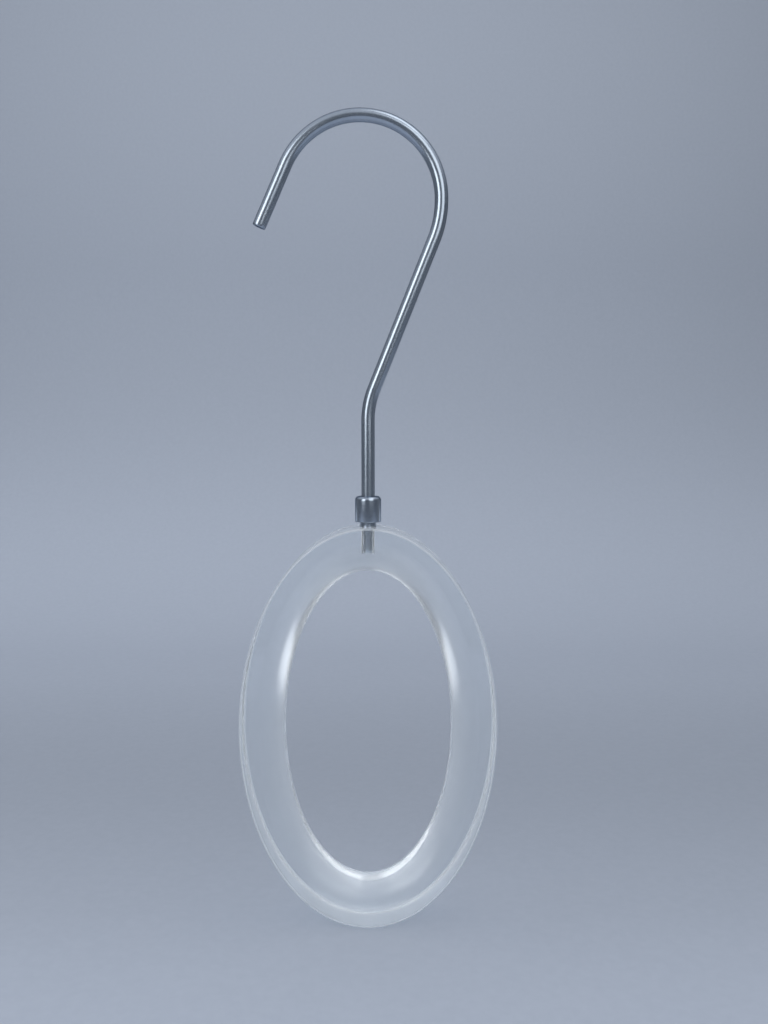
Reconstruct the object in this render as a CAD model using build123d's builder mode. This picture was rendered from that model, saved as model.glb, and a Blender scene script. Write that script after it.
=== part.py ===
from build123d import *
import math
import os

# Scarf hanger: a thick oval ring of clear acrylic, hung from a bent wire hook that swivels in a
# small turned collar. Millimetres, +Z up. The origin is the point of the hook that lies on the
# rail: the inside of the bend, at its top. The ring's flat faces look along Y.

# Ring
ring_width = 87.5
ring_height = 138.0
ring_depth = 18.0
rim_width = 15.2
ring_edge_break = 0.3
# The rim is a half round towards the hole, so that cloth slides over it, drawn in narrow flat bands
rounding_bands = 12

# Hook wire, along its centre line from the top of the bend down to the collar
wire_diameter = 4.5
crook_radius = 27.0
ease_radius = 35.0
ease_turn = 24.0
lean_angle = 22.0
lean_length = 53.0
knee_radius = 28.0
stem_length = 25.5
# The open end, on the other side of the bend
tip_lean_angle = 24.0
tip_length = 22.0
tip_edge_break = 0.4

# Head at the wire's lower end, caught inside the collar
head_diameter = 6.3
head_height = 1.5
head_edge_break = 0.3

# Collar
collar_diameter = 8.8
collar_height = 8.8
collar_shoulder = 1.4
collar_edge_break = 0.3
collar_roof = 2.2

# Stud: plug in the collar, neck between collar and ring, shank in the ring
neck_diameter = 5.4
neck_length = 1.4
shank_diameter = 4.4
shank_length = 8.2
pilot_diameter = 4.1
shank_edge_break = 0.4
groove_count = 2
groove_width = 0.5
groove_depth = 0.3
groove_pitch = 1.6
first_groove_depth = 2.4

# Seat of the neck in the top of the ring
seat_depth = 0.3

# Clearances, on each side
swivel_clearance = 0.05
head_side_clearance = 0.3
head_end_play = 0.1
plug_clearance = 0.02
seat_clearance = 0.1
glue_gap = 0.05
shank_end_gap = 0.2

# Sizes that follow
wire_radius = wire_diameter / 2
ring_half_width = ring_width / 2
ring_half_height = ring_height / 2
hole_half_width = ring_half_width - rim_width
hole_half_height = ring_half_height - rim_width
rim_rounding = ring_depth / 2
cavity_radius = head_diameter / 2 + head_side_clearance
plug_length = collar_height - collar_roof - head_height - 2 * head_end_play
# The first turn past the rail takes the wire down to the lean, less what the wider bend turns
crook_turn = 90.0 + lean_angle - ease_turn
tip_turn = 90.0 - tip_lean_angle
crook_top = (0, wire_radius)

os.makedirs("parts", exist_ok=True)


# Hook: one wire, bent in one plane, with a head upset on its lower end
with BuildPart() as hook:
    with BuildLine(Plane.XZ) as wire_line:
        crook = JernArc(start=crook_top, tangent=(1, 0), radius=crook_radius, arc_size=-crook_turn)
        ease = JernArc(start=crook @ 1, tangent=crook % 1, radius=ease_radius, arc_size=-ease_turn)
        lean = Line(ease @ 1, (ease @ 1) + (ease % 1) * lean_length)
        knee = JernArc(start=lean @ 1, tangent=lean % 1, radius=knee_radius, arc_size=lean_angle)
        wire_below_knee = stem_length + collar_roof + head_end_play + head_height
        stem = Line(knee @ 1, (knee @ 1) + (knee % 1) * wire_below_knee)
        back = JernArc(start=crook_top, tangent=(-1, 0), radius=crook_radius, arc_size=tip_turn)
        tip = Line(back @ 1, (back @ 1) + (back % 1) * tip_length)
    wire_path = wire_line.wires()[0]
    with BuildSketch(Plane(origin=wire_path @ 0, z_dir=wire_path % 0)):
        Circle(wire_radius)
    sweep(path=wire_path)
    chamfer(hook.faces().sort_by_distance(tip @ 1)[0].edges(), tip_edge_break)
    with BuildSketch(Plane(origin=stem @ 1, z_dir=(0, 0, 1))):
        Circle(head_diameter / 2)
    extrude(amount=head_height)
    head_rims = hook.edges().filter_by(GeomType.CIRCLE).filter_by(
        lambda rim: abs(rim.radius - head_diameter / 2) < head_side_clearance
    )
    chamfer(head_rims, head_edge_break)
hook.part.label = "hook"
export_step(hook.part, "parts/hook.step")

# Heights along the stem, from the place where the knee ends
stem_x = (knee @ 1).X
collar_top = (knee @ 1).Z - stem_length
collar_foot = collar_top - collar_height
ring_top = collar_foot - neck_length
ring_centre = ring_top - ring_half_height
# Turned pieces are drawn in a plane through the stem, with the stem at the plane's own zero
collar_plane = Plane(origin=(stem_x, 0, collar_foot), x_dir=(1, 0, 0), z_dir=(0, -1, 0))
stud_plane = Plane(origin=(stem_x, 0, ring_top), x_dir=(1, 0, 0), z_dir=(0, -1, 0))
stem_axis = Axis((stem_x, 0, ring_top), (0, 0, 1))


# Collar: a turned cup, upside down, with the wire through its roof
with BuildPart() as collar:
    with BuildSketch(collar_plane) as collar_half:
        collar_radius = collar_diameter / 2
        neck_bore = wire_radius + swivel_clearance
        roof_height = collar_height - collar_roof
        with BuildLine():
            Polyline(
                (cavity_radius, 0),
                (collar_radius, 0),
                (collar_radius, collar_height),
                (neck_bore, collar_height),
                (neck_bore, roof_height),
                (cavity_radius, roof_height),
                close=True,
            )
        make_face()
        outer_corners = collar_half.vertices().group_by(Axis.X)[-1].sort_by(Axis.Y)
        fillet(outer_corners[-1], collar_shoulder)
        chamfer(outer_corners[0], collar_edge_break)
    revolve(axis=stem_axis)
collar.part.label = "collar"
export_step(collar.part, "parts/collar.step")


# Stud: a turned pin, with glue grooves round the shank
with BuildPart() as stud:
    with BuildSketch(stud_plane) as stud_half:
        plug_radius = cavity_radius - plug_clearance
        neck_radius = neck_diameter / 2
        shank_radius = shank_diameter / 2
        pilot_radius = pilot_diameter / 2
        with BuildLine():
            Polyline(
                (0, neck_length + plug_length),
                (plug_radius, neck_length + plug_length),
                (plug_radius, neck_length),
                (neck_radius, neck_length),
                (neck_radius, -seat_depth),
                (shank_radius, -seat_depth),
                (shank_radius, -first_groove_depth),
                (pilot_radius, -first_groove_depth),
                (pilot_radius, -shank_length),
                (0, -shank_length),
                close=True,
            )
        make_face()
        foot_corner = stud_half.vertices().group_by(Axis.Y)[0].sort_by(Axis.X)[-1]
        chamfer(foot_corner, shank_edge_break)
        for groove in range(groove_count):
            groove_top = -first_groove_depth - groove * groove_pitch
            with Locations((pilot_radius - groove_depth, groove_top)):
                Rectangle(shank_radius, groove_width, align=(Align.MIN, Align.MAX), mode=Mode.SUBTRACT)
    revolve(axis=stem_axis)
stud.part.label = "stud"
export_step(stud.part, "parts/stud.step")


# Ring: an oval plate with an oval hole, rounded from face to face all the way round
with BuildPart() as ring:
    back_plane = Plane(origin=(stem_x, ring_depth / 2, ring_centre), x_dir=(1, 0, 0), z_dir=(0, -1, 0))
    with BuildSketch(back_plane):
        Ellipse(ring_half_width, ring_half_height)
    extrude(amount=ring_depth)
    chamfer(ring.edges().filter_by(GeomType.ELLIPSE), ring_edge_break)
    for band in range(rounding_bands + 1):
        turn = math.pi * band / rounding_bands
        inset = rim_rounding * (1 - math.cos(turn))
        widening = rim_rounding * (1 - math.sin(turn))
        with BuildSketch(back_plane.offset(inset)):
            Ellipse(hole_half_width + widening, hole_half_height + widening)
    loft(ruled=True, mode=Mode.SUBTRACT)
    with Locations((stem_x, 0, ring_top)):
        CounterBoreHole(
            radius=shank_diameter / 2 + glue_gap,
            counter_bore_radius=neck_diameter / 2 + seat_clearance,
            counter_bore_depth=seat_depth,
            depth=shank_length + shank_end_gap,
        )
ring.part.label = "ring"
export_step(ring.part, "parts/ring.step")
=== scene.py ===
"""Looks of a scarf hanger: a clear acrylic oval ring on a bent steel wire hook.

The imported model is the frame. Every length here is in metres, and every place is worked out from
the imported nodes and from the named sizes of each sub-assembly. The ring's flat faces look along Y,
and the hook's stem stands along Z.
"""

import logging
import math
from dataclasses import dataclass, field
from enum import Enum

import bpy
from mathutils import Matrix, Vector


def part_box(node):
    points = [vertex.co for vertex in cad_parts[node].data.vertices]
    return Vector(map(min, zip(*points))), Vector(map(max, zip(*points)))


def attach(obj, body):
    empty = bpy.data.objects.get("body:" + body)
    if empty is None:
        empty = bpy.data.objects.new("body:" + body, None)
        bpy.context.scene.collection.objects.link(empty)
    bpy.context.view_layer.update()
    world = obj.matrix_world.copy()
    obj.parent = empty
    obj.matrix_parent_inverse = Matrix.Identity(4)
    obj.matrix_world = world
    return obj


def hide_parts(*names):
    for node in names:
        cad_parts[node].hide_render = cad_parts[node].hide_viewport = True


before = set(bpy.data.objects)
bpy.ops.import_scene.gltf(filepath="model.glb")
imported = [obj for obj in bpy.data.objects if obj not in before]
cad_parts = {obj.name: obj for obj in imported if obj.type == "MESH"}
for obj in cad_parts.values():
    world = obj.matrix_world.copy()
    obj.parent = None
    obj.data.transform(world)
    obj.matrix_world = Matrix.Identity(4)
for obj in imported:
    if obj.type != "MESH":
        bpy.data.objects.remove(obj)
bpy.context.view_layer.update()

log = logging.getLogger("scarf_hanger")

MM = 0.001
# Most values of a noise texture lie between these
NOISE_LOW, NOISE_HIGH = 0.3, 0.7
# How many times the noises repeat in a metre
STEEL_PATCHES = (160.0, 160.0, 90.0)
ACRYLIC_WAVES = (45.0, 45.0, 45.0)
ACRYLIC_HAZE = (220.0, 220.0, 220.0)
PAPER_FIBRES = (300.0, 300.0, 300.0)

Point = tuple[float, float, float]
Colour = tuple[float, float, float]
Pair = tuple[float, float]
Socket = bpy.types.NodeSocket


class Body(Enum):
    """The moving bodies of the hanger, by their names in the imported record."""

    HOOK = "hook"
    RING = "ring"


class Slot(Enum):
    """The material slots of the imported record."""

    ACRYLIC = "clear_acrylic"
    TURNED = "turned_steel"
    WIRE = "satin_wire"


@dataclass(frozen=True)
class Layout:
    """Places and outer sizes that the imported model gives, in metres."""

    stem_x: float
    ring_top: float
    ring_foot: float
    ring_half_width: float
    ring_half_depth: float
    collar_top: float
    collar_foot: float
    collar_radius: float
    stud_foot: float

    @property
    def ring_half_height(self) -> float:
        """Half of the ring's height."""
        return (self.ring_top - self.ring_foot) / 2

    @property
    def ring_centre(self) -> float:
        """Height of the middle of the ring's hole."""
        return (self.ring_top + self.ring_foot) / 2

    @staticmethod
    def from_frame() -> "Layout":
        """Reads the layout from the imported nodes.

        Returns:
            The places of the ring, the collar and the stud.
        """
        ring_low, ring_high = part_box("ring")
        collar_low, collar_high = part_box("collar")
        stud_low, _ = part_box("stud")
        return Layout(
            stem_x=(collar_low.x + collar_high.x) / 2,
            ring_top=ring_high.z,
            ring_foot=ring_low.z,
            ring_half_width=(ring_high.x - ring_low.x) / 2,
            ring_half_depth=(ring_high.y - ring_low.y) / 2,
            collar_top=collar_high.z,
            collar_foot=collar_low.z,
            collar_radius=(collar_high.x - collar_low.x) / 2,
            stud_foot=stud_low.z,
        )


class NodeSheet:
    """A material's node tree with short calls for the nodes that the finishes use."""

    def __init__(self, name: str) -> None:
        """Starts an empty material.

        Args:
            name: The material's name.
        """
        self.material = bpy.data.materials.new(name)
        self.material.use_nodes = True
        self.tree = self.material.node_tree
        self.shader = self.tree.nodes["Principled BSDF"]

    def node(self, kind: str, **values: object) -> bpy.types.Node:
        """Adds a node.

        Args:
            kind: The node's type, such as "ShaderNodeBump".
            values: Properties of the node.

        Returns:
            The new node.
        """
        made = self.tree.nodes.new(kind)
        for key, value in values.items():
            setattr(made, key, value)
        return made

    def join(self, source: Socket, target: Socket) -> None:
        """Links an output to an input."""
        self.tree.links.new(source, target)

    def uv(self) -> bpy.types.NodeOutputs:
        """Splits the UV place into its parts.

        Returns:
            The outputs X, Y and Z of the UV place.
        """
        place = self.node("ShaderNodeTexCoord")
        parts = self.node("ShaderNodeSeparateXYZ")
        self.join(place.outputs["UV"], parts.inputs["Vector"])
        return parts.outputs

    def noise(self, coordinate: str, scale: Point, detail: float) -> Socket:
        """Adds a noise texture, stretched along its axes.

        Args:
            coordinate: The texture coordinate's output, "UV" or "Object".
            scale: How many times it repeats in a metre, or in a unit of UV, along each axis.
            detail: The noise's detail.

        Returns:
            The noise's value.
        """
        place = self.node("ShaderNodeTexCoord")
        stretch = self.node("ShaderNodeMapping")
        stretch.inputs["Scale"].default_value = scale
        grain = self.node("ShaderNodeTexNoise")
        grain.inputs["Scale"].default_value = 1.0
        grain.inputs["Detail"].default_value = detail
        self.join(place.outputs[coordinate], stretch.inputs["Vector"])
        self.join(stretch.outputs["Vector"], grain.inputs["Vector"])
        return grain.outputs["Fac"]

    def span(self, value: Socket, source: Pair, target: Pair, soft: bool = False) -> Socket:
        """Maps one range of values to another.

        Args:
            value: The value.
            source: The ends of the range that it comes from.
            target: The ends of the range that it goes to.
            soft: Whether the result eases in and out at both ends.

        Returns:
            The mapped value.
        """
        made = self.node("ShaderNodeMapRange", interpolation_type="SMOOTHSTEP" if soft else "LINEAR")
        made.inputs["From Min"].default_value, made.inputs["From Max"].default_value = source
        made.inputs["To Min"].default_value, made.inputs["To Max"].default_value = target
        self.join(value, made.inputs["Value"])
        return made.outputs["Result"]

    def spread(self, value: Socket, low: float, high: float) -> Socket:
        """Maps a noise value to the range from low to high."""
        return self.span(value, (NOISE_LOW, NOISE_HIGH), (low, high))

    def ramp(self, value: Socket, stops: tuple[tuple[float, Colour], ...], bends: str) -> Socket:
        """Colours a value.

        Args:
            value: The value.
            stops: Places from 0 to 1 with their colours.
            bends: How the colours run from stop to stop, such as "LINEAR".

        Returns:
            The colour.
        """
        made = self.node("ShaderNodeValToRGB")
        made.color_ramp.interpolation = bends
        steps = made.color_ramp.elements
        for step, (place, colour) in enumerate(stops):
            element = steps[step] if step < len(steps) else steps.new(place)
            element.position = place
            element.color = (*colour, 1.0)
        self.join(value, made.inputs["Fac"])
        return made.outputs["Color"]

    def blend(self, value: Socket, one: Colour, other: Colour) -> Socket:
        """Blends two colours by a noise value."""
        return self.ramp(value, ((NOISE_LOW, one), (NOISE_HIGH, other)), "LINEAR")

    def multiply(self, colour: Socket, tone: Socket) -> Socket:
        """Multiplies a colour by a tone.

        Args:
            colour: The colour.
            tone: The tone, as a grey or a number.

        Returns:
            The darker or paler colour.
        """
        made = self.node("ShaderNodeMixRGB", blend_type="MULTIPLY")
        made.inputs["Fac"].default_value = 1.0
        self.join(colour, made.inputs["Color1"])
        self.join(tone, made.inputs["Color2"])
        return made.outputs["Color"]

    def choose(self, amount: Socket, outside: Socket, inside: float) -> Socket:
        """Moves a value towards another.

        Args:
            amount: How far, from 0 to 1.
            outside: The value at 0.
            inside: The value at 1.

        Returns:
            The value between the two.
        """
        choice = self.node("ShaderNodeMix", data_type="FLOAT")
        self.join(amount, choice.inputs["Factor"])
        self.join(outside, choice.inputs["A"])
        choice.inputs["B"].default_value = inside
        return choice.outputs["Result"]

    def within(self, height: Socket, band: Pair, outside: Socket, inside: float) -> Socket:
        """Gives a band of the surface a value of its own.

        Args:
            height: The place in the UV map's height.
            band: The band's middle and half width.
            outside: The value outside the band.
            inside: The value inside the band.

        Returns:
            The chosen value.
        """
        near = self.node("ShaderNodeMath", operation="COMPARE")
        near.inputs[1].default_value, near.inputs[2].default_value = band
        self.join(height, near.inputs[0])
        return self.choose(near.outputs["Value"], outside, inside)

    def towards(self, height: Socket, band: Pair, outside: Socket, inside: float) -> Socket:
        """Blends a value softly towards the middle of a band of the surface.

        Args:
            height: The place in the UV map's height.
            band: The band's middle and half width.
            outside: The value outside the band.
            inside: The value in the middle of the band.

        Returns:
            The blended value.
        """
        middle, reach = band
        offset = self.node("ShaderNodeMath", operation="SUBTRACT")
        offset.inputs[1].default_value = middle
        self.join(height, offset.inputs[0])
        distance = self.node("ShaderNodeMath", operation="ABSOLUTE")
        self.join(offset.outputs["Value"], distance.inputs[0])
        amount = self.span(distance.outputs["Value"], (reach, 0.0), (0.0, 1.0), soft=True)
        return self.choose(amount, outside, inside)

    def bump(self, height: Socket, depth: float) -> None:
        """Gives the shader a fine relief.

        Args:
            height: The relief's height, from 0 to 1.
            depth: The relief's depth in metres.
        """
        relief = self.node("ShaderNodeBump")
        relief.inputs["Strength"].default_value = 1.0
        relief.inputs["Distance"].default_value = depth
        self.join(height, relief.inputs["Height"])
        self.join(relief.outputs["Normal"], self.shader.inputs["Normal"])


@dataclass(frozen=True)
class SteelFinish:
    """Steel with fine lines left by a die or a lathe, darker where it is seen edge on."""

    name: str
    colour: Colour
    worn_colour: Colour
    edge_colour: Colour
    roughness: float
    roughness_spread: float
    lines_across: float
    lines_along: float
    line_depth: float

    def make(self) -> bpy.types.Material:
        """Makes the material.

        Returns:
            A steel with its fine lines along the piece or round it, as their two scales say.
        """
        sheet = NodeSheet(self.name)
        lines = sheet.noise("UV", (self.lines_across, self.lines_along, 1.0), detail=3.0)
        patches = sheet.noise("Object", STEEL_PATCHES, detail=2.0)
        shader = sheet.shader
        shader.inputs["Metallic"].default_value = 1.0
        shader.inputs["Specular Tint"].default_value = (*self.edge_colour, 1.0)
        sheet.join(sheet.blend(patches, self.colour, self.worn_colour), shader.inputs["Base Color"])
        low = self.roughness - self.roughness_spread
        high = self.roughness + self.roughness_spread
        sheet.join(sheet.spread(lines, low, high), shader.inputs["Roughness"])
        sheet.bump(lines, self.line_depth)
        return sheet.material


@dataclass(frozen=True)
class AcrylicFinish:
    """Clear cast acrylic: polished faces, a finely sanded half round and a sawn outer wall."""

    name: str
    colour: Colour
    pale_colour: Colour
    refraction: float
    roughness_low: float
    roughness_high: float
    sanded_roughness: float
    sawn_roughness: float
    sawn_clarity: float
    sanded_clarity: float
    clarity_low: float
    clarity_high: float
    shade: Colour
    wave_depth: float

    def make(self, wall: Pair, half_round: Pair) -> bpy.types.Material:
        """Makes the material.

        Args:
            wall: The middle and the half width of the outer wall in the UV map's height, which
                runs round from 0 to 1.
            half_round: The same for the half round towards the hole.

        Returns:
            A clear refracting material, polished on the two faces.
        """
        sheet = NodeSheet(self.name)
        waves = sheet.noise("Object", ACRYLIC_WAVES, detail=1.0)
        haze = sheet.noise("Object", ACRYLIC_HAZE, detail=3.0)
        shader = sheet.shader
        shader.inputs["IOR"].default_value = self.refraction
        sheet.join(sheet.blend(haze, self.colour, self.pale_colour), shader.inputs["Base Color"])
        height = sheet.uv()["Y"]
        roughness = sheet.spread(haze, self.roughness_low, self.roughness_high)
        roughness = sheet.within(height, half_round, roughness, self.sanded_roughness)
        roughness = sheet.within(height, wall, roughness, self.sawn_roughness)
        sheet.join(roughness, shader.inputs["Roughness"])
        polished = sheet.spread(haze, self.clarity_low, self.clarity_high)
        clarity = sheet.towards(height, half_round, polished, self.sanded_clarity)
        clarity = sheet.within(height, wall, clarity, self.sawn_clarity)
        sheet.join(clarity, shader.inputs["Transmission Weight"])
        sheet.bump(waves, self.wave_depth)
        # Lamps light what lies behind the acrylic, and its own far side, straight through it
        rays = sheet.node("ShaderNodeLightPath")
        straight = sheet.node("ShaderNodeBsdfTransparent")
        straight.inputs["Color"].default_value = (*self.shade, 1.0)
        choice = sheet.node("ShaderNodeMixShader")
        sheet.join(rays.outputs["Is Shadow Ray"], choice.inputs["Fac"])
        sheet.join(shader.outputs["BSDF"], choice.inputs[1])
        sheet.join(straight.outputs["BSDF"], choice.inputs[2])
        sheet.join(choice.outputs["Shader"], sheet.tree.nodes["Material Output"].inputs["Surface"])
        return sheet.material


@dataclass(frozen=True)
class PaperFinish:
    """Matt background paper with painted light and shade: its colour is painted darker and paler along the
    sweep and from side to side.
    """

    name: str
    colour: Colour
    fibre_colour: Colour
    roughness: float
    gloss: float
    # Painted light and shade along the sweep: a grey for each place from the front floor up to the wall
    painted_light_tones: tuple[Pair, ...]
    # Painted light from side to side: the paper's tone at its left and at its right end
    painted_light_left: float
    painted_light_right: float

    def make(self) -> bpy.types.Material:
        """Makes the material.

        Returns:
            A matt paper with faint fibres, with painted light and shade along and across the sweep.
        """
        sheet = NodeSheet(self.name)
        fibres = sheet.noise("Object", PAPER_FIBRES, detail=4.0)
        shader = sheet.shader
        shader.inputs["Roughness"].default_value = self.roughness
        shader.inputs["Specular IOR Level"].default_value = self.gloss
        place = sheet.uv()
        # Painted light and shade: the paper's colour is darkened and lightened along the sweep
        painted_light_greys = tuple((spot, (tone, tone, tone)) for spot, tone in self.painted_light_tones)
        along = sheet.ramp(place["Y"], painted_light_greys, "B_SPLINE")
        # Painted light: the paper is painted paler on the left and darker on the right
        across = sheet.span(place["X"], (0.0, 1.0), (self.painted_light_left, self.painted_light_right))
        paper = sheet.blend(fibres, self.colour, self.fibre_colour)
        paper = sheet.multiply(sheet.multiply(paper, along), across)
        sheet.join(paper, shader.inputs["Base Color"])
        return sheet.material


DRAWN_WIRE = SteelFinish(
    name="drawn_wire",
    colour=(0.45, 0.505, 0.575),
    worn_colour=(0.49, 0.545, 0.615),
    edge_colour=(0.2, 0.23, 0.28),
    roughness=0.26,
    roughness_spread=0.015,
    lines_across=30.0,
    lines_along=0.1,
    line_depth=0.0002 * MM,
)
TURNED_STEEL = SteelFinish(
    name="turned_steel",
    colour=(0.42, 0.475, 0.55),
    worn_colour=(0.46, 0.515, 0.59),
    edge_colour=(0.2, 0.23, 0.28),
    roughness=0.24,
    roughness_spread=0.02,
    lines_across=0.5,
    lines_along=4.0,
    line_depth=0.0005 * MM,
)
CLEAR_ACRYLIC = AcrylicFinish(
    name="clear_acrylic",
    colour=(0.95, 0.98, 1.0),
    pale_colour=(0.965, 0.99, 1.0),
    refraction=1.49,
    roughness_low=0.0,
    roughness_high=0.015,
    sanded_roughness=0.24,
    sawn_roughness=0.14,
    sawn_clarity=0.68,
    sanded_clarity=0.7,
    clarity_low=0.93,
    clarity_high=0.97,
    shade=(0.96, 0.97, 0.98),
    wave_depth=0.01 * MM,
)
SWEEP_PAPER = PaperFinish(
    name="sweep_paper",
    colour=(0.505, 0.547, 0.623),
    fibre_colour=(0.525, 0.567, 0.643),
    roughness=0.95,
    gloss=0.1,
    # Painted light and shade: paler floor in front, painted shade on the floor behind the ring, paler and
    # darker bands through the bend and up the wall
    painted_light_tones=(
        (0.0, 0.98), (0.17, 0.99), (0.2, 0.85), (0.25, 0.71), (0.3, 0.75), (0.35, 0.85),
        (0.42, 0.91), (0.49, 0.98), (0.57, 0.84), (0.65, 0.89), (0.8, 0.88),
    ),
    # Painted light from side to side: paler on the left, darker on the right
    painted_light_left=1.1,
    painted_light_right=0.92,
)


class Skin:
    """A surface made ring by ring, with a normal and a UV place for every corner of its faces."""

    def __init__(self, name: str) -> None:
        """Starts an empty surface.

        Args:
            name: The name of the piece that it becomes.
        """
        self.name = name
        self.points: list[Vector] = []
        self.faces: list[tuple[int, ...]] = []
        self.normals: list[Vector] = []
        self.uvs: list[Pair] = []

    def ring(self, points: list[Vector]) -> list[int]:
        """Adds points and gives their numbers."""
        self.points.extend(points)
        return list(range(len(self.points) - len(points), len(self.points)))

    def face(self, corners: list[int], normals: list[Vector], uvs: list[Pair]) -> None:
        """Adds one face.

        Args:
            corners: The numbers of its points.
            normals: The normal at each corner.
            uvs: The UV place of each corner.
        """
        self.faces.append(tuple(corners))
        self.normals.extend(normals)
        self.uvs.extend(uvs)

    def band(
        self,
        first: list[int],
        second: list[int],
        first_normals: list[Vector],
        second_normals: list[Vector],
        along: Pair = (0.0, 1.0),
    ) -> None:
        """Joins two closed rings of as many points by a band of quads.

        Args:
            first: The first ring.
            second: The second ring.
            first_normals: The normals at the first ring.
            second_normals: The normals at the second ring.
            along: The UV place of each ring along the piece.
        """
        count = len(first)
        for i in range(count):
            j = (i + 1) % count
            here, there = i / count, (i + 1) / count
            self.face(
                [first[i], first[j], second[j], second[i]],
                [first_normals[i], first_normals[j], second_normals[j], second_normals[i]],
                [(here, along[0]), (there, along[0]), (there, along[1]), (here, along[1])],
            )

    def disc(
        self,
        ring: list[int],
        centre: Vector,
        normal: Vector,
        flip: bool,
        along: Pair = (0.0, 1.0),
    ) -> None:
        """Closes a ring with a fan of triangles.

        Args:
            ring: The ring.
            centre: The middle of the disc.
            normal: The disc's normal.
            flip: Whether the faces turn the other way.
            along: The UV place of the ring and of the middle along the piece.
        """
        middle = self.ring([centre])[0]
        count = len(ring)
        for i in range(count):
            j = (i + 1) % count
            pair = [ring[j], ring[i]] if flip else [ring[i], ring[j]]
            self.face(
                [*pair, middle],
                [normal] * 3,
                [(i / count, along[0]), ((i + 1) / count, along[0]), ((i + 0.5) / count, along[1])],
            )

    def piece(self, material: bpy.types.Material) -> bpy.types.Object:
        """Makes the object.

        Args:
            material: Its finish.

        Returns:
            The object, at the origin, linked to the scene.
        """
        used = sorted({number for face in self.faces for number in face})
        places = {number: place for place, number in enumerate(used)}
        mesh = bpy.data.meshes.new(self.name)
        mesh.from_pydata(
            [tuple(self.points[number]) for number in used],
            [],
            [[places[number] for number in face] for face in self.faces],
        )
        layer = mesh.uv_layers.new(name="along_the_piece")
        for corner, uv in zip(layer.data, self.uvs):
            corner.uv = uv
        mesh.polygons.foreach_set("use_smooth", [True] * len(mesh.polygons))
        mesh.normals_split_custom_set([tuple(n) for n in self.normals])
        mesh.materials.append(material)
        made = bpy.data.objects.new(self.name, mesh)
        bpy.context.scene.collection.objects.link(made)
        return made


def mount(piece: bpy.types.Object, body: Body, node: str) -> None:
    """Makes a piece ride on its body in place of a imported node.

    Args:
        piece: The piece.
        body: The body that it moves with.
        node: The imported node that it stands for.
    """
    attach(piece, body.value)
    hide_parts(node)
    log.info("%s: %d faces, rides on %s", piece.name, len(piece.data.polygons), body.value)


@dataclass
class Station:
    """A place on the wire's centre line."""

    x: float
    z: float
    heading: float
    travelled: float

    @property
    def place(self) -> Vector:
        """The place as a point."""
        return Vector((self.x, 0.0, self.z))

    @property
    def forward(self) -> Vector:
        """The way along the wire."""
        return Vector((math.cos(self.heading), 0.0, math.sin(self.heading)))


# A ring of the wire's surface: a station, how far past it the ring lies, and the ring's radius
Row = tuple[Station, float, float]


@dataclass
class WirePath:
    """The hook's centre line in the plane of the bend, walked with straight runs and bends."""

    x: float
    z: float
    heading: float
    step: float = 1.2 * MM
    bend_step: float = math.radians(1.5)
    travelled: float = 0.0
    stations: list[Station] = field(default_factory=list)

    def note(self) -> None:
        """Keeps the present place as a station."""
        self.stations.append(Station(self.x, self.z, self.heading, self.travelled))

    def run(self, length: float) -> None:
        """Walks straight on.

        Args:
            length: How far.
        """
        steps = max(1, round(length / self.step))
        for _ in range(steps):
            self.x += math.cos(self.heading) * length / steps
            self.z += math.sin(self.heading) * length / steps
            self.travelled += length / steps
            self.note()

    def bend(self, radius: float, turn: float) -> None:
        """Walks round a bend.

        Args:
            radius: The bend's radius at the centre line.
            turn: The angle turned in radians, positive anticlockwise.
        """
        side = math.copysign(1.0, turn)
        centre_x = self.x - math.sin(self.heading) * radius * side
        centre_z = self.z + math.cos(self.heading) * radius * side
        steps = max(2, round(abs(turn) / self.bend_step))
        for _ in range(steps):
            self.heading += turn / steps
            self.x = centre_x + math.sin(self.heading) * radius * side
            self.z = centre_z - math.cos(self.heading) * radius * side
            self.travelled += radius * abs(turn) / steps
            self.note()


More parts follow.
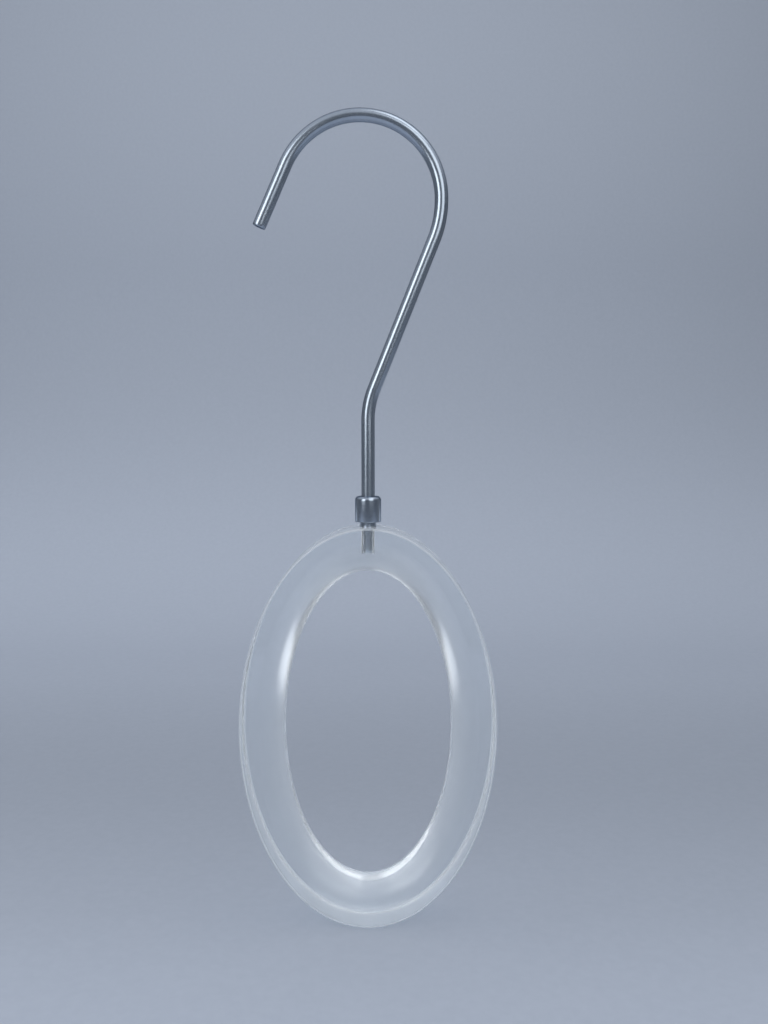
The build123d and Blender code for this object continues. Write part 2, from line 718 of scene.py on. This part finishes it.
@dataclass
class Hook:
    """The hook: one drawn wire, bent, with a cut tip and a head upset inside the collar."""

    wire_radius: float = 2.25 * MM
    crook_radius: float = 27.0 * MM
    ease_radius: float = 35.0 * MM
    ease_turn: float = math.radians(24.0)
    lean: float = math.radians(22.0)
    lean_length: float = 53.0 * MM
    knee_radius: float = 28.0 * MM
    tip_lean: float = math.radians(24.0)
    tip_length: float = 22.0 * MM
    tip_rounding: float = 0.4 * MM
    head_radius: float = 3.15 * MM
    head_height: float = 1.5 * MM
    head_edge: float = 0.3 * MM
    head_depth: float = 2.3 * MM
    tip_steps: int = 4
    sides: int = 48
    smooth: float = math.radians(30.0)

    def centre_line(self, layout: Layout) -> list[Station]:
        """Walks the wire from its tip to its head.

        Args:
            layout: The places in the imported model.

        Returns:
            The stations from the tip down to the upper side of the head.
        """
        right_angle = math.pi / 2
        tip_side = WirePath(0.0, self.wire_radius, math.pi)
        tip_side.bend(self.crook_radius, right_angle - self.tip_lean)
        tip_side.run(self.tip_length)
        tip_reach = tip_side.travelled
        stations = [
            Station(s.x, s.z, s.heading - math.pi, tip_reach - s.travelled)
            for s in reversed(tip_side.stations)
        ]
        path = WirePath(0.0, self.wire_radius, 0.0, travelled=tip_reach)
        path.note()
        path.bend(self.crook_radius, -(right_angle + self.lean - self.ease_turn))
        path.bend(self.ease_radius, -self.ease_turn)
        path.run(self.lean_length)
        path.bend(self.knee_radius, self.lean)
        path.run(path.z - (layout.collar_top - self.head_depth))
        return stations + path.stations

    def ends(self) -> tuple[list[Pair], list[Pair]]:
        """Works out how the wire's two ends are shaped.

        Returns:
            For the tip and for the head, pairs of how far beyond the first or last station a ring
            lies and its radius.
        """
        tip: list[Pair] = []
        for i in range(1, self.tip_steps + 1):
            angle = math.pi / 2 * i / self.tip_steps
            shrink = self.tip_rounding * (1 - math.cos(angle))
            tip.append((self.tip_rounding * math.sin(angle), self.wire_radius - shrink))
        head = [
            (0.0, self.head_radius - self.head_edge),
            (self.head_edge, self.head_radius),
            (self.head_height - self.head_edge, self.head_radius),
            (self.head_height, self.head_radius - self.head_edge),
        ]
        return tip, head

    def hoop(self, station: Station, beyond: float, radius: float) -> list[Vector]:
        """Places a ring of points square to the wire.

        Args:
            station: The place on the centre line.
            beyond: How far the ring lies past that place, along the wire.
            radius: The ring's radius.

        Returns:
            The ring's points.
        """
        across = Vector((-math.sin(station.heading), 0.0, math.cos(station.heading)))
        depth = Vector((0.0, 1.0, 0.0))
        centre = station.place + station.forward * beyond
        points = []
        for i in range(self.sides):
            angle = 2 * math.pi * i / self.sides
            points.append(centre + (across * math.cos(angle) + depth * math.sin(angle)) * radius)
        return points

    def build(self, layout: Layout) -> None:
        """Builds the dressed hook.

        Args:
            layout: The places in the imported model.
        """
        skin = Skin("hook_wire")
        stations = self.centre_line(layout)
        tip_shape, head_shape = self.ends()
        first, last = stations[0], stations[-1]
        first_cut = Station(
            first.x + math.cos(first.heading) * self.tip_rounding,
            first.z + math.sin(first.heading) * self.tip_rounding,
            first.heading,
            first.travelled + self.tip_rounding,
        )
        rows: list[Row] = [(first_cut, -beyond, radius) for beyond, radius in reversed(tip_shape)]
        rows.append((first_cut, 0.0, self.wire_radius))
        rows += [(s, 0.0, self.wire_radius) for s in stations[1:]]
        rows += [(last, beyond, radius) for beyond, radius in head_shape]
        hoops = [self.hoop(*row) for row in rows]
        numbers = [skin.ring(points) for points in hoops]
        slopes = self.slopes(rows)
        for i in range(len(rows) - 1):
            before, after = self.band_normals(rows, hoops, slopes, i)
            here, there = ((station.travelled + beyond) / MM for station, beyond, _ in rows[i:i + 2])
            skin.band(numbers[i + 1], numbers[i], after, before, (there, here))
        end = last.place + last.forward * self.head_height
        skin.disc(numbers[0], first.place, -first.forward, flip=False)
        skin.disc(numbers[-1], end, last.forward, flip=True)
        mount(skin.piece(DRAWN_WIRE.make()), Body.HOOK, "hook")

    def slopes(self, rows: list[Row]) -> list[float]:
        """Finds the slope of each band, as the angle that its normal leans along the wire.

        Args:
            rows: The rings.

        Returns:
            One angle in radians for each band.
        """
        found = []
        for (one, ahead, radius), (other, ahead_too, radius_too) in zip(rows, rows[1:]):
            length = (other.travelled + ahead_too) - (one.travelled + ahead)
            found.append(math.atan2(radius - radius_too, max(length, 0.0)))
        return found

    def band_normals(
        self, rows: list[Row], hoops: list[list[Vector]], slopes: list[float], i: int
    ) -> tuple[list[Vector], list[Vector]]:
        """Works out the normals of one band, smooth where it meets a band of nearly the same slope.

        Args:
            rows: The rings.
            hoops: The points of each ring.
            slopes: The slope of each band.
            i: The band's number.

        Returns:
            The normals at the band's first and second ring.
        """
        before = slopes[i]
        if i > 0 and abs(slopes[i - 1] - slopes[i]) < self.smooth:
            before = (slopes[i - 1] + slopes[i]) / 2
        after = slopes[i]
        if i + 1 < len(slopes) and abs(slopes[i + 1] - slopes[i]) < self.smooth:
            after = (slopes[i + 1] + slopes[i]) / 2
        found = []
        for row, hoop, lean in ((rows[i], hoops[i], before), (rows[i + 1], hoops[i + 1], after)):
            forward = row[0].forward
            centre = row[0].place + forward * row[1]
            found.append([
                (p - centre).normalized() * math.cos(lean) + forward * math.sin(lean) for p in hoop
            ])
        return found[0], found[1]


@dataclass
class Turned:
    """A turned piece: a profile of straight runs and rounded corners, spun about the stem."""

    name: str
    stem_x: float
    sides: int = 72
    smooth: float = math.radians(30.0)

    def spin(self, profile: list[Pair], closed: bool) -> Skin:
        """Spins a profile.

        Args:
            profile: Radius and height of each point, with the metal on the left of the way along it.
            closed: Whether the profile comes back to its first point, and else it runs from the
                axis to the axis.

        Returns:
            The surface.
        """
        skin = Skin(self.name)
        count = len(profile)
        pairs = [(i, (i + 1) % count) for i in range(count if closed else count - 1)]
        leans = []
        for i, j in pairs:
            rise = (profile[j][0] - profile[i][0], profile[j][1] - profile[i][1])
            leans.append(math.atan2(-rise[0], rise[1]))
        rings = [self.hoop(radius, height) for radius, height in profile]
        numbers = [skin.ring(ring) if len(ring) > 1 else [] for ring in rings]
        travelled = 0.0
        for k, (i, j) in enumerate(pairs):
            length = math.dist(profile[i], profile[j])
            before = self.met(leans, k, k - 1, closed)
            after = self.met(leans, k, k + 1, closed)
            along = (travelled / MM, (travelled + length) / MM)
            travelled += length
            if not numbers[i]:
                skin.disc(numbers[j], rings[i][0], Vector((0.0, 0.0, math.sin(leans[k]))), flip=True)
            elif not numbers[j]:
                skin.disc(numbers[i], rings[j][0], Vector((0.0, 0.0, math.sin(leans[k]))), flip=False)
            else:
                skin.band(numbers[i], numbers[j], self.normals(before), self.normals(after), along)
        return skin

    def met(self, leans: list[float], k: int, other: int, closed: bool) -> float:
        """Blends the lean of a band with its neighbour's where the two meet smoothly.

        Args:
            leans: The lean of every band.
            k: The band.
            other: Its neighbour.
            closed: Whether the profile is closed.

        Returns:
            The lean of the normal where the two bands meet.
        """
        if closed:
            other %= len(leans)
        elif not 0 <= other < len(leans):
            return leans[k]
        turn = (leans[other] - leans[k] + math.pi) % (2 * math.pi) - math.pi
        return leans[k] + turn / 2 if abs(turn) < self.smooth else leans[k]

    def spokes(self) -> list[Vector]:
        """Lists the level directions round the stem."""
        turns = [2 * math.pi * i / self.sides for i in range(self.sides)]
        return [Vector((math.cos(turn), math.sin(turn), 0.0)) for turn in turns]

    def hoop(self, radius: float, height: float) -> list[Vector]:
        """Places a ring of points round the stem, or one point where the radius is zero."""
        middle = Vector((self.stem_x, 0.0, height))
        return [middle + spoke * radius for spoke in self.spokes()] if radius else [middle]

    def normals(self, lean: float) -> list[Vector]:
        """Lists the normals of a ring, which rise above level by the lean."""
        rise = Vector((0.0, 0.0, math.sin(lean)))
        return [spoke * math.cos(lean) + rise for spoke in self.spokes()]


def rounded(centre: Pair, radius: float, start: float, end: float, steps: int) -> list[Pair]:
    """Lists points along an arc.

    Args:
        centre: The arc's centre.
        radius: The arc's radius.
        start: The first angle in degrees.
        end: The last angle in degrees.
        steps: How many parts the arc has.

    Returns:
        The points, both ends included.
    """
    found = []
    for i in range(steps + 1):
        angle = math.radians(start + (end - start) * i / steps)
        found.append((centre[0] + radius * math.cos(angle), centre[1] + radius * math.sin(angle)))
    return found


@dataclass
class Collar:
    """The turned collar that the wire swivels in."""

    neck_bore: float = 2.3 * MM
    cavity_radius: float = 3.45 * MM
    roof: float = 2.2 * MM
    shoulder: float = 1.4 * MM
    shoulder_steps: int = 12
    edge: float = 0.3 * MM
    edge_steps: int = 4

    def build(self, layout: Layout) -> None:
        """Builds the dressed collar.

        Args:
            layout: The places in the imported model.
        """
        outer, top, foot = layout.collar_radius, layout.collar_top, layout.collar_foot
        profile = [(self.cavity_radius, foot)]
        edge_centre = (outer - self.edge, foot + self.edge)
        profile += rounded(edge_centre, self.edge, -90, 0, self.edge_steps)
        shoulder_centre = (outer - self.shoulder, top - self.shoulder)
        profile += rounded(shoulder_centre, self.shoulder, 0, 90, self.shoulder_steps)
        profile += [
            (self.neck_bore, top),
            (self.neck_bore, top - self.roof),
            (self.cavity_radius, top - self.roof),
        ]
        skin = Turned("collar_sleeve", layout.stem_x).spin(profile, closed=True)
        mount(skin.piece(TURNED_STEEL.make()), Body.RING, "collar")


@dataclass
class Stud:
    """The turned stud: a plug in the collar, a neck and a grooved shank in the ring."""

    plug_radius: float = 3.43 * MM
    plug_length: float = 4.9 * MM
    neck_radius: float = 2.7 * MM
    seat_depth: float = 0.3 * MM
    shank_radius: float = 2.2 * MM
    pilot_radius: float = 2.05 * MM
    foot_edge: float = 0.4 * MM
    first_groove: float = 2.4 * MM
    groove_pitch: float = 1.6 * MM
    groove_width: float = 0.5 * MM
    groove_depth: float = 0.3 * MM
    grooves: int = 2

    def build(self, layout: Layout) -> None:
        """Builds the dressed stud.

        Args:
            layout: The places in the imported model.
        """
        crest, foot, neck_top = layout.ring_top, layout.stud_foot, layout.collar_foot
        profile = [
            (0.0, foot),
            (self.pilot_radius - self.foot_edge, foot),
            (self.pilot_radius, foot + self.foot_edge),
        ]
        for groove in reversed(range(self.grooves)):
            groove_top = crest - self.first_groove - groove * self.groove_pitch
            groove_foot = groove_top - self.groove_width
            profile += [
                (self.pilot_radius, groove_foot),
                (self.pilot_radius - self.groove_depth, groove_foot),
                (self.pilot_radius - self.groove_depth, groove_top),
            ]
            if groove:
                profile.append((self.pilot_radius, groove_top))
        profile += [
            (self.shank_radius, crest - self.first_groove),
            (self.shank_radius, crest - self.seat_depth),
            (self.neck_radius, crest - self.seat_depth),
            (self.neck_radius, neck_top),
            (self.plug_radius, neck_top),
            (self.plug_radius, neck_top + self.plug_length),
            (0.0, neck_top + self.plug_length),
        ]
        skin = Turned("stud_pin", layout.stem_x).spin(profile, closed=False)
        mount(skin.piece(TURNED_STEEL.make()), Body.RING, "stud")


@dataclass
class AcrylicRing:
    """The clear oval ring, rounded towards its hole, with a blind seat for the stud in its top."""

    rim: float = 15.2 * MM
    edge: float = 0.8 * MM
    seat_radius: float = 2.8 * MM
    seat_depth: float = 0.3 * MM
    bore_radius: float = 2.25 * MM
    bore_depth: float = 8.4 * MM
    bore_steps: int = 6
    around: int = 400
    wall_columns: int = 12
    patch_half_steps: int = 7
    patch_half_columns: int = 3
    patch_rings: int = 4
    rounding_steps: int = 32
    edge_steps: int = 4
    face_columns: int = 4

    def oval(self, half_width: float, half_height: float, turn: float) -> tuple[Vector, Vector]:
        """Finds a point of an oval and its outward normal.

        Args:
            half_width: Half of the oval's width.
            half_height: Half of its height.
            turn: The oval's parameter, with 0 at the top.

        Returns:
            The point, with the oval's middle at zero, and the normal.
        """
        point = Vector((half_width * math.sin(turn), 0.0, half_height * math.cos(turn)))
        normal = Vector((math.sin(turn) / half_width, 0.0, math.cos(turn) / half_height)).normalized()
        return point, normal

    def section(self, layout: Layout, turn: float) -> list[tuple[Vector, Vector]]:
        """Walks round the rim's section at one place of the oval.

        Args:
            layout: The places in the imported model.
            turn: The oval's parameter.

        Returns:
            Points and normals: the outer wall from front to back, the back face, the half round
            towards the hole, the front face, and the front edge up to the wall.
        """
        half_depth = layout.ring_half_depth
        outer, out = self.oval(layout.ring_half_width, layout.ring_half_height, turn)
        inner, away = self.oval(
            layout.ring_half_width - self.rim, layout.ring_half_height - self.rim, turn
        )
        middle = Vector((layout.stem_x, 0.0, layout.ring_centre))
        depth = Vector((0.0, 1.0, 0.0))
        wall = half_depth - self.edge
        half: list[tuple[Vector, Vector]] = []
        for i in range(1, self.edge_steps + 1):
            angle = math.pi / 2 * i / self.edge_steps
            inset = out * (-self.edge * (1 - math.cos(angle)))
            y = wall + self.edge * math.sin(angle)
            half.append((outer + inset + depth * y, out * math.cos(angle) + depth * math.sin(angle)))
        face_start = half[-1][0]
        face_end = inner + away * half_depth + depth * half_depth
        for i in range(1, self.face_columns):
            half.append((face_start.lerp(face_end, i / self.face_columns), depth))
        found: list[tuple[Vector, Vector]] = []
        for i in range(self.wall_columns + 1):
            y = -wall + 2 * wall * i / self.wall_columns
            found.append((outer + depth * y, out))
        found += half
        for i in range(self.rounding_steps + 1):
            angle = math.pi * i / self.rounding_steps
            normal = depth * math.cos(angle) - away * math.sin(angle)
            found.append((inner + away * half_depth + normal * half_depth, normal))
        for point, normal in reversed(half):
            found.append((Vector((point.x, -point.y, point.z)), Vector((normal.x, -normal.y, normal.z))))
        return [(point + middle, normal) for point, normal in found]

    def in_patch(self, step: int, column: int) -> bool:
        """Says whether a quad of the outer wall gives way to the seat.

        Args:
            step: Its place round the oval, counted from the top.
            column: Its place across the wall, counted from the front.

        Returns:
            Whether it lies in the patch round the seat.
        """
        middle = self.wall_columns // 2
        across = -self.patch_half_columns <= column - middle < self.patch_half_columns
        return across and -self.patch_half_steps <= step < self.patch_half_steps

    def build(self, layout: Layout) -> None:
        """Builds the dressed ring.

        Args:
            layout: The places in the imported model.
        """
        skin = Skin("acrylic_ring")
        sections = [self.section(layout, 2 * math.pi * i / self.around) for i in range(self.around)]
        numbers = [skin.ring([point for point, _ in section]) for section in sections]
        width = len(sections[0])
        for i in range(self.around):
            j = (i + 1) % self.around
            step = i if i < self.around // 2 else i - self.around
            here, there = i / self.around, (i + 1) / self.around
            for k in range(width):
                m = (k + 1) % width
                if k < self.wall_columns and self.in_patch(step, k):
                    continue
                column = (k + self.edge_steps) % width
                near, far = column / width, (column + 1) / width
                skin.face(
                    [numbers[i][k], numbers[j][k], numbers[j][m], numbers[i][m]],
                    [sections[i][k][1], sections[j][k][1], sections[j][m][1], sections[i][m][1]],
                    [(here, near), (there, near), (there, far), (here, far)],
                )
        wall_reach = (self.wall_columns / 2 + self.edge_steps) / width
        round_reach = self.rounding_steps / 2 / width
        round_middle = 2 * wall_reach + self.face_columns / width + round_reach
        polished = 1.0 - self.face_columns / 2 / width
        self.seat(skin, layout, numbers, wall_reach, polished)
        finish = CLEAR_ACRYLIC.make((wall_reach, wall_reach), (round_middle, round_reach))
        mount(skin.piece(finish), Body.RING, "ring")

    def patch_border(self, numbers: list[list[int]]) -> list[int]:
        """Walks round the gap that the outer wall leaves for the seat.

        Args:
            numbers: The numbers of the ring's points, by step and place in the section.

        Returns:
            The border's points, anticlockwise as seen from above.
        """
        middle = self.wall_columns // 2
        low, high = middle - self.patch_half_columns, middle + self.patch_half_columns
        reach = self.patch_half_steps
        border = [numbers[reach][c] for c in range(low, high)]
        border += [numbers[s][high] for s in range(reach, -reach, -1)]
        border += [numbers[-reach][c] for c in range(high, low, -1)]
        border += [numbers[s][low] for s in range(-reach, reach)]
        return border

    def seat(
        self, skin: Skin, layout: Layout, numbers: list[list[int]], wall: float, polished: float
    ) -> None:
        """Adds the patch of wall round the stud's seat, the seat and the blind bore.

        Args:
            skin: The ring's surface.
            layout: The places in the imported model.
            numbers: The numbers of the ring's points.
            wall: A place in the UV map's height where the outer wall lies.
            polished: A place in the UV map's height where a polished face lies.
        """
        half_width, half_height = layout.ring_half_width, layout.ring_half_height

        def on_wall(x: float, y: float) -> tuple[Vector, Vector]:
            """Finds the outer wall above a place.

            Args:
                x: How far the place lies from the stem, along X.
                y: How far it lies from the stem, along Y.

            Returns:
                The wall's point and its normal there.
            """
            turn = math.asin(x / half_width)
            point, normal = self.oval(half_width, half_height, turn)
            return Vector((layout.stem_x + point.x, y, layout.ring_centre + point.z)), normal

        border = self.patch_border(numbers)
        places = [(skin.points[n].x - layout.stem_x, skin.points[n].y) for n in border]
        angles = [math.atan2(y, x) for x, y in places]
        mouth = [(self.seat_radius * math.cos(a), self.seat_radius * math.sin(a)) for a in angles]
        outer_ring = border
        outer_normals = [on_wall(x, y)[1] for x, y in places]
        for r in range(1, self.patch_rings + 1):
            share = r / self.patch_rings
            spots = [
                on_wall(x + (mx - x) * share, y + (my - y) * share)
                for (x, y), (mx, my) in zip(places, mouth)
            ]
            ring = skin.ring([point for point, _ in spots])
            normals = [normal for _, normal in spots]
            skin.band(outer_ring, ring, outer_normals, normals, (wall, wall))
            outer_ring, outer_normals = ring, normals
        inward = [Vector((-math.cos(a), -math.sin(a), 0.0)) for a in angles]
        along = (polished, polished)
        up = [Vector((0.0, 0.0, 1.0))] * len(angles)
        floor = layout.ring_top - self.seat_depth
        seat_foot = skin.ring(self.level_ring(layout, angles, self.seat_radius, floor))
        skin.band(outer_ring, seat_foot, inward, inward, along)
        bore_top = skin.ring(self.level_ring(layout, angles, self.bore_radius, floor))
        skin.band(seat_foot, bore_top, up, up, along)
        above = bore_top
        for i in range(1, self.bore_steps + 1):
            height = floor + (layout.ring_top - self.bore_depth - floor) * i / self.bore_steps
            below = skin.ring(self.level_ring(layout, angles, self.bore_radius, height))
            skin.band(above, below, inward, inward, along)
            above = below
        bottom = Vector((layout.stem_x, 0.0, layout.ring_top - self.bore_depth))
        skin.disc(above, bottom, Vector((0.0, 0.0, 1.0)), False, along)

    def level_ring(
        self, layout: Layout, angles: list[float], radius: float, height: float
    ) -> list[Vector]:
        """Places a level ring of points about the stem.

        Args:
            layout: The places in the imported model.
            angles: The angle of each point.
            radius: The ring's radius.
            height: The ring's height.

        Returns:
            The points.
        """
        return [
            Vector((layout.stem_x + radius * math.cos(a), radius * math.sin(a), height)) for a in angles
        ]


@dataclass(frozen=True)
class Softbox:
    """A soft studio lamp, aimed at the hanger."""

    name: str
    azimuth: float
    elevation: float
    distance: float
    width: float
    height: float
    power: float
    colour: Colour = (0.95, 0.975, 1.0)
    spread: float = 180.0

    def build(self, target: Vector) -> bpy.types.Object:
        """Builds the lamp.

        Args:
            target: The point that it is aimed at.

        Returns:
            The lamp.
        """
        data = bpy.data.lights.new(self.name, "AREA")
        data.shape = "RECTANGLE"
        data.size = self.width
        data.size_y = self.height
        data.energy = self.power
        data.color = self.colour
        data.spread = math.radians(self.spread)
        made = bpy.data.objects.new(self.name, data)
        bpy.context.scene.collection.objects.link(made)
        turn, rise = math.radians(self.azimuth), math.radians(self.elevation)
        way = Vector((
            math.sin(turn) * math.cos(rise), -math.cos(turn) * math.cos(rise), math.sin(rise)
        ))
        made.location = target + way * self.distance
        made.rotation_euler = (-way).to_track_quat("-Z", "Y").to_euler()
        made.visible_camera = False
        return made


@dataclass
class Studio:
    """The paper sweep, the softboxes, the room around them and the camera."""

    floor_front: float = 0.42
    wall_distance: float = 0.75
    sweep_radius: float = 0.35
    wall_height: float = 1.1
    half_width: float = 0.62
    sweep_steps: int = 24
    front_colour: Colour = (0.12, 0.135, 0.16)
    back_colour: Colour = (0.2, 0.215, 0.24)
    ceiling_colour: Colour = (0.55, 0.58, 0.64)
    back_span: Pair = (-0.25, 0.35)
    ceiling_span: Pair = (0.25, 0.75)
    camera_distance: float = 330.3 * MM
    camera_height: float = 170.5 * MM
    camera_right: float = 5.4 * MM
    focal_pixels: float = 975.0
    horizon_pixel: float = 430.0
    frame_height: float = 1024.0
    sensor: float = 36.0
    softboxes: tuple[Softbox, ...] = (
        Softbox("key_left", -42.0, 24.0, 1.0, 0.46, 0.66, 2.4),
        Softbox("fill_right", 30.0, 28.0, 1.0, 0.62, 0.72, 1.9),
        Softbox("top_right", 60.0, 68.0, 1.0, 0.45, 0.45, 0.8),
        Softbox("glow_left", -132.0, -1.0, 0.36, 0.2, 0.08, 0.0048, spread=60.0),
        Softbox("glow_right", 132.0, -1.0, 0.36, 0.2, 0.08, 0.0041, spread=60.0),
    )
    wall_lamp: Softbox = Softbox("wall_lamp", 0.0, 38.0, 0.65, 1.1, 0.25, 1.5)
    wall_lamp_height: float = 0.25

    def sweep(self, layout: Layout) -> None:
        """Builds the paper sweep: floor, round bend and wall in one sheet.

        Args:
            layout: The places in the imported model.
        """
        foot = layout.ring_foot
        line = [(-self.floor_front, foot)]
        bend_start = self.wall_distance - self.sweep_radius
        for i in range(self.sweep_steps + 1):
            angle = math.pi / 2 * i / self.sweep_steps
            line.append((
                bend_start + self.sweep_radius * math.sin(angle),
                foot + self.sweep_radius * (1 - math.cos(angle)),
            ))
        line.append((self.wall_distance, foot + self.wall_height))
        points = []
        for y, z in line:
            points += [(layout.stem_x - self.half_width, y, z), (layout.stem_x + self.half_width, y, z)]
        faces = [(2 * i, 2 * i + 1, 2 * i + 3, 2 * i + 2) for i in range(len(line) - 1)]
        mesh = bpy.data.meshes.new("sweep")
        mesh.from_pydata(points, [], faces)
        mesh.polygons.foreach_set("use_smooth", [True] * len(mesh.polygons))
        reach = [0.0]
        for one, other in zip(line, line[1:]):
            reach.append(reach[-1] + math.dist(one, other))
        layer = mesh.uv_layers.new(name="along_the_paper")
        for corner, loop in zip(layer.data, mesh.loops):
            corner.uv = (loop.vertex_index % 2, reach[loop.vertex_index // 2] / reach[-1])
        mesh.materials.append(SWEEP_PAPER.make())
        made = bpy.data.objects.new("sweep", mesh)
        bpy.context.scene.collection.objects.link(made)

    def room(self) -> None:
        """Makes the room beyond the sweep: dim, a little paler behind, with a pale ceiling."""
        world = bpy.data.worlds.new("room")
        bpy.context.scene.world = world
        world.use_nodes = True
        tree = world.node_tree
        tree.nodes.clear()

        def fade(value: Socket, span: Pair) -> Socket:
            """Turns one axis of the direction into a soft step.

            Args:
                value: The axis.
                span: Where the step starts and where it ends.

            Returns:
                The step, from 0 to 1.
            """
            step = tree.nodes.new("ShaderNodeMapRange")
            step.interpolation_type = "SMOOTHSTEP"
            step.inputs["From Min"].default_value, step.inputs["From Max"].default_value = span
            tree.links.new(value, step.inputs["Value"])
            return step.outputs["Result"]

        def mix(amount: Socket, other: Colour) -> bpy.types.Node:
            """Adds a mix towards a colour.

            Args:
                amount: How much of the colour it holds, from 0 to 1.
                other: The colour.

            Returns:
                The mix, whose first colour is still to be given.
            """
            made = tree.nodes.new("ShaderNodeMixRGB")
            made.inputs["Color2"].default_value = (*other, 1.0)
            tree.links.new(amount, made.inputs["Fac"])
            return made

        way = tree.nodes.new("ShaderNodeTexCoord")
        parts = tree.nodes.new("ShaderNodeSeparateXYZ")
        tree.links.new(way.outputs["Generated"], parts.inputs["Vector"])
        behind = mix(fade(parts.outputs["Y"], self.back_span), self.back_colour)
        behind.inputs["Color1"].default_value = (*self.front_colour, 1.0)
        above = mix(fade(parts.outputs["Z"], self.ceiling_span), self.ceiling_colour)
        tree.links.new(behind.outputs["Color"], above.inputs["Color1"])
        light = tree.nodes.new("ShaderNodeBackground")
        tree.links.new(above.outputs["Color"], light.inputs["Color"])
        output = tree.nodes.new("ShaderNodeOutputWorld")
        tree.links.new(light.outputs["Background"], output.inputs["Surface"])

    def camera(self, layout: Layout) -> None:
        """Places the camera.

        Args:
            layout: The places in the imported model.
        """
        data = bpy.data.cameras.new("camera")
        data.sensor_fit = "AUTO"
        data.sensor_width = self.sensor
        data.lens = self.focal_pixels / self.frame_height * self.sensor
        data.clip_start = 0.01
        made = bpy.data.objects.new("camera", data)
        bpy.context.scene.collection.objects.link(made)
        drop = math.atan((self.frame_height / 2 - self.horizon_pixel) / self.focal_pixels)
        made.location = (
            layout.stem_x + self.camera_right, -self.camera_distance, layout.ring_foot + self.camera_height
        )
        made.rotation_euler = (math.pi / 2 - drop, 0.0, 0.0)
        bpy.context.scene.camera = made

    def build(self, layout: Layout) -> None:
        """Builds the whole studio.

        Args:
            layout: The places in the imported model.
        """
        self.sweep(layout)
        self.room()
        target = Vector((layout.stem_x, 0.0, layout.ring_centre))
        for softbox in self.softboxes:
            softbox.build(target)
        wall = Vector((layout.stem_x, self.wall_distance, layout.ring_centre + self.wall_lamp_height))
        lamp = self.wall_lamp.build(wall)
        lamp.visible_glossy = False
        lamp.visible_transmission = False
        self.camera(layout)
        bpy.context.scene.view_settings.view_transform = "Standard"


def main() -> None:
    """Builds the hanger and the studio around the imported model."""
    logging.basicConfig(level=logging.INFO, format="%(name)s: %(message)s")
    layout = Layout.from_frame()
    Hook().build(layout)
    Collar().build(layout)
    Stud().build(layout)
    AcrylicRing().build(layout)
    Studio().build(layout)


if __name__ == "__main__":
    main()
